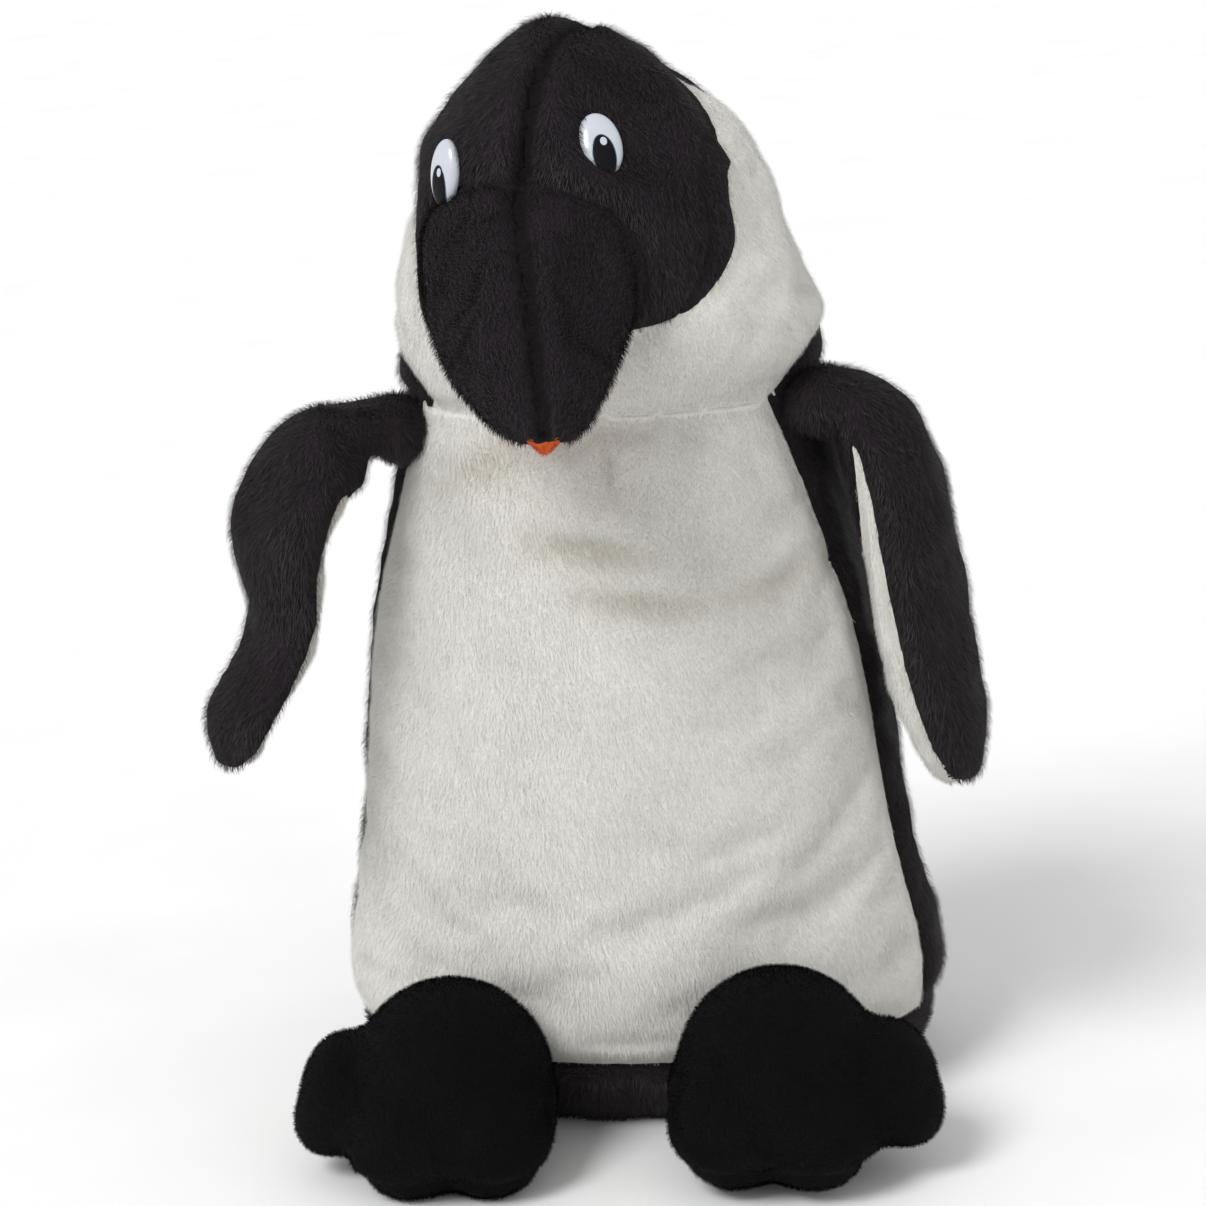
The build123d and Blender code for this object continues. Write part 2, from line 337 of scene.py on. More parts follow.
def thicken(panel, thickness):
    """Gives a panel its backing, and marks the outer side, which carries the pile."""
    panel.vertex_groups.new(name="backing")
    solidify = panel.modifiers.new("solidify", "SOLIDIFY")
    solidify.thickness = thickness
    solidify.offset = -1
    solidify.shell_vertex_group = "backing"
    solidify.rim_vertex_group = "backing"
    apply_modifiers(panel)
    mesh = panel.data
    backing = np.array([any(g.weight > 0.5 for g in v.groups) for v in mesh.vertices])
    pile = mesh.attributes.new("pile", "FLOAT", "FACE")
    outer = [0.0 if any(backing[v] for v in p.vertices) else 1.0 for p in mesh.polygons]
    pile.data.foreach_set("value", outer)
    panel.vertex_groups.clear()
    mesh.shade_smooth()


# ---------------------------------------------------------------- materials
class Graph:
    """Shorthand for wiring a node tree: add() takes plug names with values or other nodes' sockets."""

    def __init__(self, tree):
        self.tree = tree

    def add(self, kind, plugs=None, **settings):
        made = self.tree.nodes.new(kind)
        for key, value in settings.items():
            setattr(made, key, value)
        for plug, value in (plugs or {}).items():
            socket = made.inputs[plug]
            if isinstance(value, bpy.types.NodeSocket):
                self.tree.links.new(value, socket)
            else:
                socket.default_value = value
        return made

    def math(self, operation, a, b=0.0, clamp=False):
        made = self.add("ShaderNodeMath", {0: a, 1: b}, operation=operation, use_clamp=clamp)
        return made.outputs[0]

    def ramp(self, fac, stops):
        made = self.add("ShaderNodeValToRGB", {"Fac": fac})
        points = made.color_ramp.elements
        while len(points) < len(stops):
            points.new(0.5)
        for point, (at, colour) in zip(points, stops):
            point.position = at
            point.color = (*colour, 1)
        return made.outputs["Color"]


def material(name):
    made = bpy.data.materials.new(name)
    made.use_nodes = True
    made.node_tree.nodes.clear()
    graph = Graph(made.node_tree)
    out = graph.add("ShaderNodeOutputMaterial")
    return made, graph, out


def in_hollows(graph, colour, hollow_shade):
    """The colour, turning to painted shade along seams and creases, where their hollows lie in shadow."""
    seam_shade = graph.add("ShaderNodeAttribute", attribute_name="parting").outputs["Fac"]
    crease = graph.add("ShaderNodeAttribute", attribute_name="crease").outputs["Fac"]
    crease = graph.math("MULTIPLY", crease, 0.45)
    share = graph.math("MULTIPLY", graph.math("ADD", seam_shade, crease, clamp=True), 0.85)
    mixed = graph.add("ShaderNodeMixRGB", {"Fac": share, "Color1": colour, "Color2": (*hollow_shade, 1)})
    return mixed.outputs["Color"]


def cloth_material(name, dark, light, hollow_shade, streak, sheen, patch=0.25):
    """The dense root of a pile: fine streaks along the fall of the fibres, and larger brushed patches."""
    made, graph, out = material(name)
    where = graph.add("ShaderNodeTexCoord").outputs["Object"]
    along = graph.add("ShaderNodeMapping", {"Vector": where, "Scale": (1, 1, 0.28)})
    fine = graph.add("ShaderNodeTexNoise", {
        "Vector": along.outputs[0], "Scale": streak, "Detail": 5.0, "Roughness": 0.65})
    broad = graph.add("ShaderNodeTexNoise", {"Vector": where, "Scale": 45.0, "Detail": 3.0})
    streaks = graph.math("MULTIPLY", fine.outputs["Fac"], 1 - patch)
    patches = graph.math("MULTIPLY", broad.outputs["Fac"], patch)
    mixed = graph.math("ADD", streaks, patches)
    # painted shade darkens the colour along seams and creases
    colour = in_hollows(graph, graph.ramp(mixed, [(0.32, dark), (0.68, light)]), hollow_shade)
    bump = graph.add("ShaderNodeBump", {"Height": fine.outputs["Fac"], "Strength": 0.6, "Distance": 0.0012})
    shader = graph.add("ShaderNodeBsdfPrincipled", {
        "Base Color": colour, "Roughness": 0.92, "Normal": bump.outputs[0], "Specular IOR Level": 0.15,
        "Sheen Weight": sheen, "Sheen Roughness": 0.5, "Sheen Tint": (*light, 1)})
    graph.tree.links.new(shader.outputs[0], out.inputs["Surface"])
    return made


def fibre_material(name, dark, light, hollow_shade, glow, shine):
    """One fibre of the pile: its own shade, darker towards the root, and light that passes through it."""
    made, graph, out = material(name)
    strand = graph.add("ShaderNodeAttribute", attribute_name="strand")
    along = graph.add("ShaderNodeAttribute", attribute_name="along")
    where = graph.add("ShaderNodeTexCoord").outputs["Object"]
    broad = graph.add("ShaderNodeTexNoise", {"Vector": where, "Scale": 60.0, "Detail": 3.0})
    shade = graph.math("MULTIPLY", strand.outputs["Fac"], 0.6)
    shade = graph.math("ADD", shade, graph.math("MULTIPLY", broad.outputs["Fac"], 0.5))
    tip = graph.math("ADD", graph.math("MULTIPLY", along.outputs["Fac"], 0.35), -0.2)
    shade = graph.math("POWER", graph.math("ADD", shade, tip, clamp=True), 1.6)
    # painted shade darkens the colour along seams and creases
    colour = in_hollows(graph, graph.ramp(shade, [(0.08, dark), (0.85, light)]), hollow_shade)
    body = graph.add("ShaderNodeBsdfPrincipled", {
        "Base Color": colour, "Roughness": 0.55, "Specular IOR Level": shine})
    through = graph.add("ShaderNodeBsdfTranslucent", {"Color": colour})
    mix = graph.add("ShaderNodeMixShader", {"Fac": glow, 1: body.outputs[0], 2: through.outputs[0]})
    graph.tree.links.new(mix.outputs[0], out.inputs["Surface"])
    return made


def plastic_material(name, colour, roughness, coat=0.0, shine=0.5):
    """Moulded plastic with faint flow marks and fine scuffs."""
    made, graph, out = material(name)
    where = graph.add("ShaderNodeTexCoord").outputs["Object"]
    flow = graph.add("ShaderNodeTexNoise", {"Vector": where, "Scale": 180.0, "Detail": 2.0})
    scuff = graph.add("ShaderNodeTexNoise", {"Vector": where, "Scale": 2400.0, "Detail": 4.0})
    tone = graph.ramp(flow.outputs["Fac"], [(0.3, tuple(0.93 * c for c in colour)), (0.7, colour)])
    rough = graph.math("ADD", graph.math("MULTIPLY", scuff.outputs["Fac"], 0.12), roughness)
    bump = graph.add("ShaderNodeBump", {"Height": flow.outputs["Fac"], "Strength": 0.08, "Distance": 0.0004})
    shader = graph.add("ShaderNodeBsdfPrincipled", {
        "Base Color": tone, "Roughness": rough, "Normal": bump.outputs[0],
        "Coat Weight": coat, "Coat Roughness": 0.05, "Specular IOR Level": shine})
    graph.tree.links.new(shader.outputs[0], out.inputs["Surface"])
    return made


# the colours of each pile: at its root, at its tip, and the painted shade in the hollow of a seam or crease
BLACK = ((0.0022, 0.0018, 0.0026), (0.033, 0.025, 0.030), (0.0009, 0.0007, 0.0009))
WHITE = ((0.64, 0.63, 0.59), (0.85, 0.845, 0.82), (0.50, 0.46, 0.36))
ORANGE = ((0.45, 0.06, 0.015), (0.90, 0.19, 0.05), (0.30, 0.04, 0.01))
VELBOA = ((0.0004, 0.0004, 0.0005), (0.0030, 0.0030, 0.0034), (0.0003, 0.0003, 0.0003))

def look(cloth, fibre, colours, streak, sheen, glow, shine):
    """The two materials of one fabric: its cloth and its fibres."""
    return cloth_material(cloth, *colours, streak, sheen), fibre_material(fibre, *colours, glow, shine)


LOOKS = {
    "black": look("black_plush", "black_fibre", BLACK, 2600, 0.05, 0.1, 0.3),
    "white": look("white_plush", "white_fibre", WHITE, 2600, 0.2, 0.4, 0.15),
    "orange": look("orange_plush", "orange_fibre", ORANGE, 2600, 0.2, 0.3, 0.15),
    "foot": look("black_velboa", "velboa_fibre", VELBOA, 3800, 0.02, 0.02, 0.12),
}
EYE_WHITE = plastic_material("eye_white", (0.52, 0.55, 0.61), 0.15, coat=0.3)
EYE_BLACK = plastic_material("eye_pupil", (0.003, 0.003, 0.004), 0.45, shine=0.12)
EYE_RIM = plastic_material("eye_pupil_edge", (0.10, 0.16, 0.24), 0.15, coat=0.6)
WASHER = plastic_material("washer_plastic", (0.70, 0.70, 0.67), 0.45)
COTTON = ((0.004, 0.004, 0.005), (0.03, 0.028, 0.03), (0.004, 0.004, 0.005))
THREAD = cloth_material("thread", *COTTON, 3000, 0.1)


# ---------------------------------------------------------------- pile
def fibre_shape(graph, half_width):
    """One fibre of unit length as a thin tapering blade: it rises, then bends over along its own x."""
    grid = graph.add("GeometryNodeMeshGrid", {"Size X": 1.0, "Size Y": 2.0, "Vertices X": 4, "Vertices Y": 2})
    place = graph.add("ShaderNodeSeparateXYZ", {0: graph.add("GeometryNodeInputPosition").outputs[0]})
    u = graph.math("ADD", place.outputs["X"], 0.5)
    left = graph.math("SUBTRACT", 1.0, u)
    u2 = graph.math("MULTIPLY", u, u)
    hump = graph.math("MULTIPLY", u, left)
    x = graph.math("ADD", graph.math("MULTIPLY", hump, 0.24), graph.math("MULTIPLY", u2, 0.8))
    z = graph.math("ADD", graph.math("MULTIPLY", hump, 1.1), graph.math("MULTIPLY", u2, 0.62))
    z = graph.math("SUBTRACT", z, graph.math("MULTIPLY", graph.math("MULTIPLY", left, left), 0.12))
    taper = graph.math("SUBTRACT", 1.0, graph.math("MULTIPLY", u, 0.75))
    y = graph.math("MULTIPLY", graph.math("MULTIPLY", place.outputs["Y"], half_width), taper)
    bent = graph.add("ShaderNodeCombineXYZ", {"X": x, "Y": y, "Z": z})
    marked = graph.add("GeometryNodeStoreNamedAttribute", {
        "Geometry": grid.outputs["Mesh"], "Name": "along", "Value": u}, data_type="FLOAT", domain="POINT")
    shaped = graph.add("GeometryNodeSetPosition", {
        "Geometry": marked.outputs[0], "Position": bent.outputs[0]})
    smooth = graph.add("GeometryNodeSetShadeSmooth", {"Geometry": shaped.outputs[0]})
    return smooth.outputs[0]


def pile_group():
    """Geometry nodes that grow short bent fibres from the faces marked as pile, leaning along the nap."""
    tree = bpy.data.node_groups.new("pile", "GeometryNodeTree")
    settings = {name: "Float" for name in ("Density", "Length", "Rise", "Radius", "Stray", "Swirl")}
    for name, kind in {"Cloth": "Geometry", **settings, "Seed": "Int", "Fibre": "Material"}.items():
        tree.interface.new_socket(name=name, in_out="INPUT", socket_type="NodeSocket" + kind)
    tree.interface.new_socket(name="Cloth", in_out="OUTPUT", socket_type="NodeSocketGeometry")
    graph = Graph(tree)
    given = graph.add("NodeGroupInput").outputs

    place = graph.add("GeometryNodeInputPosition").outputs[0]
    ends = []
    for name in ("ahead", "behind"):
        index = graph.add("GeometryNodeInputNamedAttribute", {"Name": name}, data_type="INT")
        end = graph.add("GeometryNodeFieldAtIndex", {"Value": place, "Index": index.outputs["Attribute"]},
                        data_type="FLOAT_VECTOR", domain="POINT")
        ends.append(end.outputs[0])
    nap = graph.add("ShaderNodeVectorMath", {0: ends[0], 1: ends[1]}, operation="SUBTRACT")
    nap = graph.add("ShaderNodeVectorMath", {0: nap.outputs[0]}, operation="NORMALIZE")
    combed = graph.add("GeometryNodeStoreNamedAttribute", {
        "Geometry": given["Cloth"], "Name": "nap", "Value": nap.outputs[0]},
        data_type="FLOAT_VECTOR", domain="POINT")

    share = graph.add("GeometryNodeInputNamedAttribute", {"Name": "pile"}, data_type="FLOAT")
    density = graph.math("MULTIPLY", given["Density"], share.outputs["Attribute"])
    roots = graph.add("GeometryNodeDistributePointsOnFaces", {
        "Mesh": combed.outputs[0], "Density": density, "Seed": given["Seed"]})

    lie = graph.add("GeometryNodeInputNamedAttribute", {"Name": "nap"}, data_type="FLOAT_VECTOR")
    tuft = graph.add("ShaderNodeTexNoise", {"Vector": place, "Scale": 230.0, "Detail": 2.0, "Roughness": 0.6})
    sway = graph.add("ShaderNodeTexNoise", {"Vector": place, "Scale": 38.0, "Detail": 1.0})
    chance = graph.add("FunctionNodeRandomValue", {0: (-1, -1, -1), 1: (1, 1, 1), "Seed": given["Seed"]},
                       data_type="FLOAT_VECTOR")
    centre = (-0.5, -0.5, -0.5)
    way = lie.outputs["Attribute"]
    for noise, middle, strength in ((tuft.outputs["Color"], centre, given["Swirl"]),
                                    (sway.outputs["Color"], centre, given["Swirl"]),
                                    (chance.outputs[0], (0, 0, 0), given["Stray"])):
        push = graph.add("ShaderNodeVectorMath", {0: noise, 1: middle}, operation="ADD")
        push = graph.add("ShaderNodeVectorMath", {0: push.outputs[0], "Scale": strength}, operation="SCALE")
        way = graph.add("ShaderNodeVectorMath", {0: way, 1: push.outputs[0]}, operation="ADD").outputs[0]
    turn = graph.add("FunctionNodeAxesToRotation", {
        "Primary Axis": roots.outputs["Normal"], "Secondary Axis": way}, primary_axis="Z", secondary_axis="X")

    blade = fibre_shape(graph, graph.math("DIVIDE", given["Radius"], given["Length"]))
    spread = graph.add("FunctionNodeRandomValue", {2: 0.65, 3: 1.1, "Seed": given["Seed"]}, data_type="FLOAT")
    lift = graph.add("FunctionNodeRandomValue", {2: 0.7, 3: 1.25, "Seed": given["Seed"]}, data_type="FLOAT")
    waver = graph.math("ADD", graph.math("MULTIPLY", tuft.outputs["Fac"], 0.7), 0.62)
    parting = graph.add("GeometryNodeInputNamedAttribute", {"Name": "parting"}, data_type="FLOAT")
    kept = graph.math("SUBTRACT", 1.0, graph.math("MULTIPLY", parting.outputs["Attribute"], 0.85))
    reach = graph.math("MULTIPLY", graph.math("MULTIPLY", spread.outputs[1], given["Length"]), waver)
    reach = graph.math("MULTIPLY", reach, kept)
    height = graph.math("MULTIPLY", graph.math("MULTIPLY", lift.outputs[1], reach), given["Rise"])
    size = graph.add("ShaderNodeCombineXYZ", {"X": reach, "Y": reach, "Z": height})
    dye = graph.add("FunctionNodeRandomValue", {2: 0.0, 3: 1.0, "Seed": given["Seed"]}, data_type="FLOAT")
    dyed = graph.add("GeometryNodeStoreNamedAttribute", {
        "Geometry": roots.outputs["Points"], "Name": "strand", "Value": dye.outputs[1]},
        data_type="FLOAT", domain="POINT")
    strands = graph.add("GeometryNodeInstanceOnPoints", {
        "Points": dyed.outputs[0], "Instance": blade, "Rotation": turn.outputs[0], "Scale": size.outputs[0]})
    real = graph.add("GeometryNodeRealizeInstances", {"Geometry": strands.outputs[0]})
    dyed = graph.add("GeometryNodeSetMaterial", {"Geometry": real.outputs[0], "Material": given["Fibre"]})
    both = graph.add("GeometryNodeJoinGeometry", {"Geometry": dyed.outputs[0]})
    graph.tree.links.new(given["Cloth"], both.inputs["Geometry"])
    graph.add("NodeGroupOutput", {"Cloth": both.outputs[0]})
    return tree


PILE = pile_group()


def lay_nap(panel, towards, step=0.008):
    """Records, for each point of a panel, which points of it lie ahead and behind along the nap."""
    mesh = panel.data
    co = coordinates(mesh)
    outer = np.zeros(len(co), dtype=bool)
    pile = np.zeros(len(mesh.polygons))
    mesh.attributes["pile"].data.foreach_get("value", pile)
    for p in mesh.polygons:
        if pile[p.index] > 0:
            outer[list(p.vertices)] = True
    tree = KDTree(int(outer.sum()))
    for i in np.flatnonzero(outer):
        tree.insert(co[i], int(i))
    tree.balance()
    way = np.asarray(towards(co), dtype=float)
    up = normals(mesh)
    way = way - up * (way * up).sum(1, keepdims=True)
    way /= np.maximum(np.linalg.norm(way, axis=1, keepdims=True), 1e-6)
    for name, sign in (("ahead", 1), ("behind", -1)):
        index = [tree.find(co[i] + sign * step * way[i])[1] for i in range(len(co))]
        mesh.attributes.new(name, "INT", "POINT").data.foreach_set("value", index)


def grow_pile(panel, look, towards, seed, **fibres):
    """Dresses a panel: the cloth's material, and its fibres, which show in renders."""
    cloth, fibre = LOOKS[look]
    panel.data.materials.clear()
    panel.data.materials.append(cloth)
    panel.data.materials.append(fibre)
    lay_nap(panel, towards)
    modifier = panel.modifiers.new("pile", "NODES")
    modifier.node_group = PILE
    values = {"seed": seed, "fibre": fibre, **fibres}
    for item in PILE.interface.items_tree:
        if item.in_out == "INPUT" and item.name.lower() in values:
            modifier[item.identifier] = values[item.name.lower()]
    modifier.show_viewport = False
    return panel


# ---------------------------------------------------------------- the torso: body, head and beak in one skin
BODY_PANELS = ["base_panel", "belly_panel", "back_panel_left", "back_panel_right"]
HEAD_KINDS = ("face_panel", "mask_strip", "cheek_panel", "head_back_panel", "beak_panel")
HEAD_PANELS = [f"{kind}_{side}" for kind in HEAD_KINDS for side in SIDES]
HEAD_PANELS.append("beak_underside")
STUFFINGS = ["body_stuffing", "head_stuffing", "beak_stuffing"]

# how much shorter the pile stands along each seam, and how dark the painted shade along it is, by the two
# kinds of panel it joins
TORSO_PARTINGS = {
    frozenset(["face_panel"]): 0.8,
    frozenset(["mask_strip"]): 0.8,
    frozenset(["beak_panel"]): 0.75,
    frozenset(["belly_panel", "cheek_panel"]): 0.1,
    frozenset(["beak_panel", "face_panel"]): 0.35,
    "usual": 0.3,
}
PARTING_WIDTH = 2.0 * MM
TURN_UNDER = 8 * MM                 # how far the beak's black panels wrap beneath its edge
ORANGE_TIP = 6.5 * MM               # half the width of the orange left showing at the tip

# how deep each seam draws the fabric in, by the two kinds of panel it joins
TORSO_SEAMS = {
    frozenset(["face_panel"]): 5.0 * MM,
    frozenset(["mask_strip"]): 4.0 * MM,
    frozenset(["beak_panel"]): 4.5 * MM,
    frozenset(["beak_panel", "face_panel"]): 2.0 * MM,
    frozenset(["belly_panel", "cheek_panel"]): 1.0 * MM,
    frozenset(["cheek_panel"]): 1.0 * MM,
    "usual": 2.0 * MM,
}

# soft folds pressed into the belly: (start x, start z, end x, end z, depth, width) in mm
BELLY_FOLDS = [
    (-24, 233, 18, 227, 5.5, 6),
    (-26, 243, 20, 240, -2.0, 6),
    (-6, 212, 34, 207, 4.5, 5.5),
    (34, 207, 88, 215, 3.0, 7),
    (-24, 270, -60, 250, 4.5, 7),
    (3, 271, 5, 252, 2.0, 3),
    (-62, 120, -40, 96, 1.0, 12),
    (52, 128, 70, 118, -1.5, 12),
]


def eye_axis(side):
    """Where an eye's shank leaves its washer, and the way it points."""
    washer = coordinates(nodes["eye_washer_" + side].data).mean(0)
    eye = coordinates(nodes["eye_" + side].data).mean(0)
    out = (eye - washer) / np.linalg.norm(eye - washer)
    return Vector(washer), Vector(out)


def fold_depths(co):
    """How far the belly's soft folds press in each point."""
    depths = np.zeros(len(co))
    for x0, z0, x1, z1, depth, width in BELLY_FOLDS:
        start = np.array([x0, z0]) * MM
        run = np.array([x1 - x0, z1 - z0]) * MM
        flat = co[:, [0, 2]] - start
        t = np.clip(flat @ run / (run @ run), 0, 1)
        gap = np.linalg.norm(flat - t[:, None] * run, axis=1)
        fade = 0.35 + 0.65 * np.sin(pi * np.clip(t, 0.02, 0.98))
        depths += depth * MM * fade * np.exp(-((gap / (width * MM)) ** 2))
    return depths * (co[:, 1] < -25 * MM)


def press_folds(co, up):
    return co - up * fold_depths(co)[:, None]


def sink_eyes(co, up):
    """The washers draw the fabric in under each eye."""
    for side in SIDES:
        root, out = eye_axis(side)
        offset = co - np.array(root)
        height = offset @ np.array(out)
        gap = np.linalg.norm(offset - height[:, None] * np.array(out), axis=1)
        co -= up * ((height > 0) * 2.2 * MM * np.exp(-((gap / (11 * MM)) ** 2)))[:, None]
    return co


def stuffed_skin(name, members, panels, voxel, rounds, pressure, cap, depths, width, partings,
                 sculpt=(), lumps=(), claims=()):
    """The whole course for one stuffed form: skin, swelling, seams and folds, then panels."""
    skin = skin_over(name, members, voxel, lumps)
    seams = Seams(panels, 30 * MM, claims)
    mesh = skin.data
    set_coordinates(mesh, smoothed(coordinates(mesh), edge_ends(mesh), rounds))
    gap = seams.locate(coordinates(mesh), normals(mesh))[2]
    inflate(skin, np.exp(-((gap / (4 * MM)) ** 2)), pressure, cap)
    subdivide(skin)
    pull_in_seams(skin, seams, depths, width)
    for step in sculpt:
        mesh = skin.data
        set_coordinates(mesh, step(coordinates(mesh), normals(mesh)))
    co = coordinates(skin.data)
    co[:, 2] = np.maximum(co[:, 2], 0.2 * MM)
    set_coordinates(skin.data, co)
    return split_panels(skin, seams, partings, 2 * MM)


def turned_under(co, gap):
    """The beak's upper panels wrap its lower edge, so the orange shows only at the tip."""
    underside = coordinates(nodes["beak_underside"].data)
    tip = underside[np.argmin(underside[:, 2])]
    return np.minimum(TURN_UNDER - gap, abs(co[:, 0] - tip[0]) - ORANGE_TIP)


torso = stuffed_skin("torso", BODY_PANELS + HEAD_PANELS + STUFFINGS, BODY_PANELS + HEAD_PANELS, 4.5 * MM, 4,
                     pressure=4, cap=6 * MM, depths=TORSO_SEAMS, width=4.5 * MM, partings=TORSO_PARTINGS,
                     sculpt=(press_folds, sink_eyes),
                     claims=[(f"beak_panel_{side}", "beak_underside", turned_under) for side in SIDES])

beak_tip = coordinates(nodes["beak_panel_right"].data)
beak_tip = beak_tip[np.argmin(beak_tip[:, 1])]


def down(co):
    return np.tile([0.0, 0.0, -1.0], (len(co), 1))


def to_beak_tip(co):
    return beak_tip + np.array([0, -0.05, -0.03]) - co


def backwards(co):
    return np.tile([0.0, 1.0, 0.0], (len(co), 1))


def pile(length, radius, density, rise, stray, swirl):
    """A fabric's fibres: size in mm, how many a square metre, how steep they stand and how they stray."""
    return {"length": length * MM, "radius": radius * MM, "density": density,
            "rise": rise, "stray": stray, "swirl": swirl}


PILES = {
    "black": pile(4.2, 0.12, 1.7e6, 0.75, 0.3, 1.2),
    "white": pile(2.9, 0.12, 2.2e6, 0.65, 0.4, 1.1),
    "orange": pile(2.6, 0.12, 2.2e6, 0.7, 0.4, 1.1),
    "foot": pile(1.5, 0.10, 2.6e6, 1.2, 0.8, 1.5),
}
WHITE_PANELS = ("belly_panel", "cheek_panel")

for panel, piece in torso.items():
    kind = family(panel)
    if kind in WHITE_PANELS:
        look, slot = "white", "white_fur"
    elif kind == "beak_underside":
        look, slot = "orange", "orange_fabric"
    else:
        look, slot = "black", "black_fur"
    nap = to_beak_tip if kind.startswith("beak") else backwards if kind == "base_panel" else down
    if kind in ("cheek_panel", "head_back_panel", "belly_panel", "back_panel"):
        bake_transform(piece)
    else:
        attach(piece, "body" if panel in BODY_PANELS else "head")
    stands_for = [panel]
    if panel == "belly_panel":
        stands_for.append("body_stuffing")
    if panel == "head_back_panel_left":
        stands_for.append("head_stuffing")
    if panel == "beak_panel_left":
        stands_for.append("beak_stuffing")
    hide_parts(*stands_for)
    if panel == "belly_panel":
        # each belly fold's depth, kept as the mask for painted shade in the fold
        creases = np.clip(fold_depths(coordinates(piece.data)) / (5 * MM), 0, 1)
        piece.data.attributes.new("crease", "FLOAT", "POINT").data.foreach_set("value", creases)
    piece["look"] = look
    piece["nap"] = nap.__name__


def clear_pile_under_eye(piece, side):
    """No fibres grow under the eye's plastic."""
    root, out = eye_axis(side)
    pile = piece.data.attributes["pile"].data
    for p in piece.data.polygons:
        offset = p.center - root
        height = offset.dot(out)
        if height > 0 and (offset - height * out).length < 8.5 * MM:
            across = offset - height * out
            upright = (Vector((0, 0, 1)) - out * out.z).normalized()
            sideways = upright.cross(out)
            if (across.dot(sideways) / (7.2 * MM)) ** 2 + (across.dot(upright) / (11.5 * MM)) ** 2 < 1:
                pile[p.index].value = 0


# ---------------------------------------------------------------- eyes
EYE_A, EYE_B, EYE_BULGE = 8.0, 12.5, 4.3       # half width, half height and dome of an eye, in mm


def oval_radius(angle, a, b):
    return a * b / ((b * cos(angle)) ** 2 + (a * sin(angle)) ** 2) ** 0.5


def eye_point(x, y, rise):
    """A point on the eye's domed face, rise above it."""
    r2 = min((x / EYE_A) ** 2 + (y / EYE_B) ** 2, 1.0)
    return Vector((x, y, EYE_BULGE * (1 - r2 ** 1.35) ** 0.5 * 0.86 + 0.6 + rise)) * MM


def shell(name, rows, place, closed_by=None):
    """A round mesh from rings of points, each ring of equal length, capped at both ends."""
    bm = bmesh.new()
    rings = [[bm.verts.new(place @ point) for point in row] for row in rows]
    count = len(rings[0])
    for ring, following in zip(rings, rings[1:]):
        for i in range(count):
            j = (i + 1) % count
            bm.faces.new((ring[i], ring[j], following[j], following[i]))
    bm.faces.new(rings[0][::-1])
    bm.faces.new(rings[-1])
    bmesh.ops.recalc_face_normals(bm, faces=bm.faces)
    mesh = bpy.data.meshes.new(name)
    bm.to_mesh(mesh)
    bm.free()
    mesh.shade_smooth()
    return link(name, mesh)


def make_eye(side):
    root, out = eye_axis(side)
    face = torso["face_panel_" + side]
    hit = BVHTree.FromObject(face, bpy.context.evaluated_depsgraph_get()).ray_cast(root + out * 0.05, -out)
    seat = hit[0] if hit[0] is not None else root + out * 7 * MM
    upright = (Vector((0, 0, 1)) - out * out.z).normalized()
    sideways = upright.cross(out)
    turn = Matrix((sideways, upright, out)).transposed()
    place = Matrix.Translation(seat + out * 0.9 * MM) @ turn.to_4x4() @ Matrix.Rotation(radians(6), 4, "Z")
    angles = [2 * pi * i / 96 for i in range(96)]

    def oval(share, rise=0.0):
        return [eye_point(EYE_A * share * cos(t), EYE_B * share * sin(t), rise) for t in angles]

    def flat(share, z):
        return [Vector((EYE_A * share * cos(t), EYE_B * share * sin(t), z)) * MM for t in angles]

    def post(radius, z):
        return [Vector((radius * cos(t), radius * sin(t), z)) * MM for t in angles]

    rows = [post(1.6, -10), post(2.0, -9.6), post(2.2, -8.8), post(2.0, -8.0), post(2.2, -7.2)]
    rows += [post(2.0, -6.4), post(2.2, -5.6), post(2.2, -0.4)]
    rows += [flat(0.9, -0.3), flat(0.985, -0.1), flat(1.0, 0.25)]
    dome = (0.997, 0.985, 0.96, 0.92, 0.86, 0.78, 0.68, 0.56, 0.44, 0.32, 0.2, 0.1, 0.02)
    rows += [oval(share) for share in dome]
    white = shell(f"eye_{side}_white", rows, place)
    white.data.materials.append(EYE_WHITE)

    def inside(cx, cy, a, b, t, limit=0.965):
        """A point of an oval about (cx, cy), kept within the eye's own outline."""
        far = oval_radius(t, a, b)
        for _ in range(40):
            x, y = cx + far * cos(t), cy + far * sin(t)
            if (x / EYE_A) ** 2 + (y / EYE_B) ** 2 <= limit ** 2:
                break
            far *= 0.985
        return cx, cy, far

    def print_oval(name, cx, cy, a, b, rise, paint):
        reach = [inside(cx, cy, a, b, t) for t in angles]
        profile = [(1.0, -0.3), (1.0, rise), (0.93, rise + 0.02)]
        profile += [(share, rise + 0.03) for share in (0.8, 0.6, 0.35, 0.02)]
        rings = []
        for share, lift in profile:
            spots = zip(angles, reach)
            rings.append([eye_point(x + share * far * cos(t), y + share * far * sin(t), lift)
                          for t, (x, y, far) in spots])
        piece = shell(name, rings, place)
        piece.data.materials.append(paint)
        return piece

    made = [
        white,
        print_oval(f"eye_{side}_pupil_edge", 0.2, -5.1, 4.35, 8.0, 0.03, EYE_RIM),
        print_oval(f"eye_{side}_pupil", 0.2, -5.1, 4.05, 7.7, 0.07, EYE_BLACK),
        print_oval(f"eye_{side}_glint", 0.9, 0.0, 1.25, 1.6, 0.12, EYE_WHITE),
    ]
    for piece in made:
        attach(piece, "head")
    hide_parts("eye_" + side)
    clear_pile_under_eye(face, side)


for side in SIDES:
    make_eye(side)
    washer = nodes["eye_washer_" + side]
    washer.data.materials.clear()
    washer.data.materials.append(WASHER)


